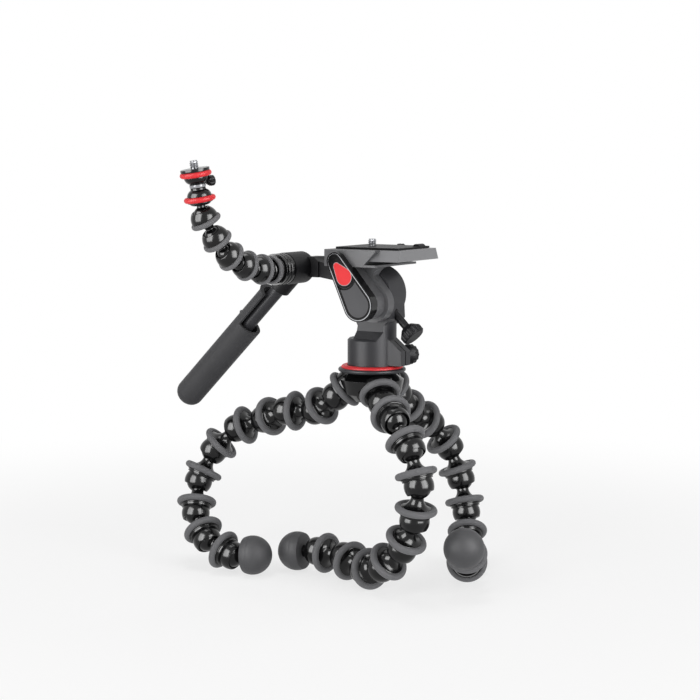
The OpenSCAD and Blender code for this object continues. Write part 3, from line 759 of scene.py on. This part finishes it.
def egg_line(name, node, low_r, high_r, inset, width, height):
    """A raised bright line along the egg outline of a node's outer face; on the cover it is a painted
    highlight of the chamfered edge.
    """
    lo, hi = head_box(node)
    low = Vector((lo.y + low_r, lo.z + low_r))
    high = Vector((hi.y - high_r, hi.z - high_r))
    way = turn_of(low, high)
    lean = math.degrees(math.acos((low_r - high_r) / (high - low).length))
    bm = bmesh.new()
    edges = section(
        bm,
        [
            arc(low, low_r - inset, way + lean, way + 360 - lean, 40),
            arc(high, high_r - inset, way - lean, way + lean, 24),
        ],
        True,
    )[1]
    bmesh.ops.edgeloop_fill(bm, edges=edges)
    face = bm.faces[:]
    bmesh.ops.inset_region(bm, faces=face, thickness=width, use_boundary=True, use_even_offset=True)
    bmesh.ops.delete(bm, geom=face, context="FACES_ONLY")
    below = bm.verts[:]
    raised = bmesh.ops.extrude_face_region(bm, geom=bm.faces[:], use_keep_orig=True)["geom"]
    above = [g for g in raised if isinstance(g, bmesh.types.BMVert)]
    bmesh.ops.translate(bm, verts=above, vec=(0, height, 0))
    bmesh.ops.translate(bm, verts=below, vec=(0, -height, 0))
    bmesh.ops.recalc_face_normals(bm, faces=bm.faces[:])
    out = Matrix(((0, -1, 0, lo.x), (1, 0, 0, 0), (0, 0, 1, 0), (0, 0, 0, 1)))
    bmesh.ops.transform(bm, matrix=head_frame() @ out, verts=bm.verts[:])
    piece(name, to_mesh(bm, name), (plated_line_painted_highlight(),), BODY_OF[node])


class TRIPOD_OT_side_cover(bpy.types.Operator):
    """Dresses the side cover with its bare badge, its rimmed panel and the bright lines; the cover's line is a
    painted highlight of its edge
    """

    bl_idname = "tripod.side_cover"
    bl_label = "Side cover"

    def execute(self, context):
        h = settings().head
        softened("side_cover", (gloss_black_abs(),), 0.8 * MM)
        softened("badge", (red_badge(),), 0.2 * MM)
        bm = welded("cover_panel")
        front = max(bm.faces, key=lambda f: -f.normal.dot(joint_axis("tilt_head")) * f.calc_area())
        inset = bmesh.ops.inset_region(
            bm, faces=[front], thickness=h.rim, use_boundary=True, use_even_offset=True
        )
        for face in inset["faces"]:
            face.material_index = 1
        softened("cover_panel", (grey_cast_paint(), gloss_black_abs()), 0.2 * MM, bm=bm)
        # Painted highlight: a bright metal line where the cover's chamfered edge catches the light
        egg_line("cover_line_painted_highlight", "side_cover", h.cover_low, h.cover_high, h.line_in, h.line_w, h.line_t)
        egg_line("badge_line", "badge", h.badge_low, h.badge_high, h.fine_in, h.fine_w, h.line_t)
        return {"FINISHED"}


class TRIPOD_OT_quick_release(bpy.types.Operator):
    """Dresses the plate holder, the plate with its ribbed pad and the threaded camera screw"""

    bl_idname = "tripod.quick_release"
    bl_label = "Quick release"

    def execute(self, context):
        h = settings().head
        pad_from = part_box("plate_holder")[1].z
        softened("plate_holder", (grey_cast_paint(),))
        # The plate's lighter grey is painted light on its front face
        softened(
            "plate",
            (lit_plate_paint(), dark_moulding()),
            0.4 * MM,
            choose=lambda c: int(c.z > pad_from),
        )
        at = joint_at("camera_screw")
        minor = h.screw - h.thread_depth
        bm = welded("camera_screw")
        top = max(v.co.z for v in bm.verts)
        for v in bm.verts:
            out = v.co - at
            out.z = 0
            if abs(out.length - h.screw) < 0.02 * MM:
                v.co -= out * (1 - minor / h.screw)
        softened("camera_screw", (turned_steel(),), 0.3 * MM, bm=bm)
        length = frame["record"]["mounts"][0]["dims"]["length_mm"] * MM
        bm = bmesh.new()
        helix(bm, minor, h.screw, h.thread_pitch, length - 0.3 * MM, 0)
        bmesh.ops.translate(bm, verts=bm.verts[:], vec=(at.x, at.y, top - length))
        piece("camera_screw_thread", to_mesh(bm, "thread"), (turned_steel(),), "camera_screw")
        return {"FINISHED"}


class TRIPOD_OT_knobs(bpy.types.Operator):
    """Dresses the lock knobs"""

    bl_idname = "tripod.knobs"
    bl_label = "Lock knobs"

    def execute(self, context):
        for node in ("pan_lock_knob", "tilt_lock_knob", "plate_lock_knob", "tip_clamp_screw"):
            softened(node, (dark_moulding(),), 0.3 * MM)
        return {"FINISHED"}


class TRIPOD_OT_handle(bpy.types.Operator):
    """Dresses the bracket, the knuckle, the bar and the grip"""

    bl_idname = "tripod.handle"
    bl_label = "Handle"

    def execute(self, context):
        softened("handle_bracket", (dark_moulding(),), 0.8 * MM)
        softened("knuckle_clamp", (dark_moulding(),), 1.0 * MM)
        softened("handle_bar", (dark_cast_paint(),))
        softened("handle_grip", (grip_rubber(),), 0.6 * MM)
        return {"FINISHED"}


class TRIPOD_OT_arm(bpy.types.Operator):
    """Turns the bead arm and its base, and dresses its lock ring"""

    bl_idname = "tripod.arm"
    bl_label = "Bead arm"

    def execute(self, context):
        b = settings().arm
        chain("arm", ARM_LINKS, "arm_tip", b, b.rise)
        softened("arm_lock_ring", (gloss_black_abs(),), 0.3 * MM)
        floor = b.bore_l - b.boss_l
        band = b.boss + b.band_gap, b.lip_at + b.lip_t + b.band_gap
        bm = bmesh.new()
        turn(
            bm,
            [
                (0, floor),
                (b.bore, floor),
                (b.bore, -b.boss_l),
                (b.boss, -b.boss_l),
                (b.boss, b.lip_at),
                (b.lip, b.lip_at),
            ]
            + cup_outline(b, 0, b.lip, b.lip_at + b.lip_t),
            0,
            soft=b.soft,
        )
        turn(
            bm,
            [band, (b.lip, band[1]), (b.lip, band[1] + b.band_l), (band[0], band[1] + b.band_l)],
            1,
            closed=True,
            soft=4 * b.soft,
        )
        mesh = to_mesh(bm, "arm_base")
        socket = joint_at("arm_link_1")
        way = -joint_axis("tilt_head")
        mesh.transform(placed(socket - way * (b.pitch - b.ring_at), way))
        looks = (gloss_black_abs(), grey_tpe())
        piece("arm_base_turned", mesh, looks, "tilt_head", ("arm_base",))
        return {"FINISHED"}


class TRIPOD_OT_arm_tip(bpy.types.Operator):
    """Turns the arm's tip, its swivel and the stud"""

    bl_idname = "tripod.arm_tip"
    bl_label = "Arm tip"

    def execute(self, context):
        b = settings().arm
        h = settings().head
        at, way = joint_at("arm_tip"), joint_axis("tip_swivel")
        waist = b.ring_at + b.waist_at
        upper = b.ring_at + b.tip_h
        rim = upper + b.tube
        half = math.sqrt(b.tube**2 - (b.ring - b.collar) ** 2)
        groove = turn_of((0, 0), (b.collar - b.ring, half))
        neck = b.waist - b.soft
        bowl_at = (b.neck + b.bowl_in, b.ring_at - b.lead)
        bowl_from, bowl_to = 238, 335
        lip = b.ring_at - b.tube
        shoulder = (b.collar - b.bulge, b.ring_at + half)
        turned = math.degrees(math.acos((neck - shoulder[0]) / b.bulge))
        bm = bmesh.new()
        turn(
            bm,
            [
                arc((0, 0), b.ball, -90, math.degrees(math.acos(b.neck / b.ball)), 14),
                arc(bowl_at, b.bowl, bowl_from, bowl_to, 10),
                (b.collar + b.soft, lip - b.flange / 3),
                (b.collar + b.soft, lip),
                arc((b.ring, b.ring_at), b.tube, 360 - groove, groove, 10),
                arc(shoulder, b.bulge, 3, turned, 10),
                (neck, waist),
                (0, waist),
            ],
            0,
            soft=b.soft,
        )
        turn(bm, ring_outline(b, b.ring_at), 1, closed=True)
        mesh = to_mesh(bm, "arm_tip")
        mesh.transform(placed(at, way))
        looks = (gloss_black_abs(), red_anodised())
        piece("arm_tip_turned", mesh, looks, "arm_tip", ("arm_tip",))

        minor = b.stud - h.thread_depth
        bm = bmesh.new()
        turn(
            bm,
            [
                (0, waist + b.gap),
                (neck, waist + b.gap),
                arc((shoulder[0], upper - half), b.bulge, -turned, -3, 10),
                arc((b.ring, upper), b.tube, 360 - groove, groove, 10),
                (b.collar, rim),
                (b.rim, rim),
                (b.rim, rim + b.flange),
                (0, rim + b.flange),
            ],
            0,
            soft=b.soft,
        )
        turn(bm, ring_outline(b, upper), 1, closed=True)
        mesh = to_mesh(bm, "tip_swivel")
        mesh.transform(placed(at, way))
        piece("tip_swivel_turned", mesh, looks, "tip_swivel", ("tip_swivel",))

        seat, top = rim + b.flange, rim + b.flange + b.stud_l
        band = waist + 2 * b.gap
        bm = bmesh.new()
        turn(bm, [(0, seat - b.soft), (minor, seat - b.soft), (minor, top), (0, top)], soft=b.soft)
        helix(bm, minor, b.stud, h.thread_pitch, b.stud_l - b.soft, seat)
        turn(
            bm,
            [
                (neck - b.soft, band),
                (b.waist, band),
                (b.waist, band + b.clip),
                (neck - b.soft, band + b.clip),
            ],
            closed=True,
            soft=b.soft,
        )
        mesh = to_mesh(bm, "tip_metal")
        mesh.transform(placed(at, way))
        piece("tip_metal", mesh, (turned_steel(),), "tip_swivel")
        return {"FINISHED"}


def lamp(name, at, to, width, height, power, shown_in=None):
    """An area lamp; with a collection it is a card that only shows in the reflections on its pieces."""
    made = bpy.data.objects.new(name, bpy.data.lights.new(name, "AREA"))
    made.data.shape = "RECTANGLE"
    made.data.size = width
    made.data.size_y = height
    made.data.energy = power
    made.location = at
    made.rotation_euler = (Vector(to) - Vector(at)).to_track_quat("-Z", "Y").to_euler()
    made.visible_diffuse = shown_in is None
    made.light_linking.receiver_collection = shown_in
    bpy.context.scene.collection.objects.link(made)


def studio():
    """A soft white world that is seen as pure white."""
    world = bpy.data.worlds.new("studio")
    world.use_nodes = True
    tree = world.node_tree
    tree.nodes.clear()
    ray = add(tree, "ShaderNodeLightPath")
    seen = ray.outputs["Is Camera Ray"]
    for kind in ("Is Glossy Ray", "Is Transmission Ray"):
        either = add(tree, "ShaderNodeMath", operation="MAXIMUM")
        tree.links.new(seen, either.inputs[0])
        tree.links.new(ray.outputs[kind], either.inputs[1])
        seen = either.outputs["Value"]
    soft = add(tree, "ShaderNodeBackground", {"Color": (1, 1, 1, 1), "Strength": 0.3})
    white = add(tree, "ShaderNodeBackground", {"Color": (1, 1, 1, 1), "Strength": 1.0})
    mix = add(tree, "ShaderNodeMixShader", links={"Fac": seen})
    tree.links.new(soft.outputs["Background"], mix.inputs[1])
    tree.links.new(white.outputs["Background"], mix.inputs[2])
    add(tree, "ShaderNodeOutputWorld", links={"Surface": mix.outputs["Shader"]})
    return world


class TRIPOD_OT_stage(bpy.types.Operator):
    """Makes the floor, the light and the camera"""

    bl_idname = "tripod.stage"
    bl_label = "Stage"

    def execute(self, context):
        scene = context.scene
        scene.view_settings.view_transform = "Standard"
        bm = bmesh.new()
        bmesh.ops.create_grid(bm, x_segments=2, y_segments=2, size=6)
        floor = bpy.data.objects.new("floor", to_mesh(bm, "floor"))
        scene.collection.objects.link(floor)
        floor.data.materials.append(paper())
        scene.world = studio()

        middle = (0, 0, 0.16)
        lamp("softbox_left", (-0.75, -0.95, 0.6), middle, 0.45, 1.1, 5.5)
        lamp("softbox_right", (0.95, -0.78, 0.6), middle, 0.45, 1.1, 5.5)
        lamp("softbox_top", (-0.1, 0.1, 1.25), middle, 0.6, 0.4, 4)
        # The cards stay off bare metal and the broad flat faces, where they would show as grey sheets
        coated = bpy.data.collections.new("coated")
        flat = ("side_cover", "cover_", "badge", "plate_shell", "camera_screw", "tip_metal", "tilt_axle")
        for made in scene.objects:
            if made.type == "MESH" and not made.name.startswith(flat):
                coated.objects.link(made)
        lamp("card_left", (-0.71, -0.55, 0.4), middle, 0.75, 1.0, 31, coated)
        lamp("card_right", (0.64, -0.63, 0.4), middle, 0.7, 1.0, 29, coated)

        # Camera: the photograph's view, from the fitted distance, height and lens
        pitch = math.radians(6.6)
        lens_px, photo_px = 1637, 700
        away = Vector((0, math.cos(pitch), -math.sin(pitch)))
        up = Vector((0, math.sin(pitch), math.cos(pitch)))
        camera = bpy.data.objects.new("camera", bpy.data.cameras.new("camera"))
        camera.data.sensor_width = 36
        camera.data.lens = 36 * lens_px / photo_px
        camera.data.clip_start = 0.05
        camera.data.clip_end = 50
        distance, rise, shift = 1.270, 0.0132, Vector((0.0171, 0, 0))
        camera.location = joint_at("pan_head") - distance * away + rise * up - shift
        camera.rotation_euler = away.to_track_quat("-Z", "Y").to_euler()
        scene.collection.objects.link(camera)
        scene.camera = camera
        return {"FINISHED"}


OPERATORS = (
    TRIPOD_OT_leg_links,
    TRIPOD_OT_leg_feet,
    TRIPOD_OT_hub,
    TRIPOD_OT_head,
    TRIPOD_OT_side_cover,
    TRIPOD_OT_quick_release,
    TRIPOD_OT_knobs,
    TRIPOD_OT_handle,
    TRIPOD_OT_arm,
    TRIPOD_OT_arm_tip,
    TRIPOD_OT_stage,
)


class TRIPOD_PT_panel(bpy.types.Panel):
    """Lists the tripod's pieces"""

    bl_label = "Tripod"
    bl_idname = "TRIPOD_PT_panel"
    bl_space_type = "VIEW_3D"
    bl_region_type = "UI"
    bl_category = "Tripod"

    def draw(self, context):
        for operator in OPERATORS:
            self.layout.operator(operator.bl_idname)


GROUPS = (LegBeadSizes, ArmBeadSizes, HeadSizes, TripodColours, TripodSettings)
CLASSES = GROUPS + OPERATORS + (TRIPOD_PT_panel,)


def register():
    for kind in CLASSES:
        bpy.utils.register_class(kind)
    bpy.types.Scene.tripod = PointerProperty(type=TripodSettings)


def unregister():
    del bpy.types.Scene.tripod
    for kind in reversed(CLASSES):
        bpy.utils.unregister_class(kind)


def main():
    register()
    for operator in OPERATORS:
        name = operator.bl_idname.split(".")[1]
        getattr(bpy.ops.tripod, name)()


if __name__ == "__main__":
    main()
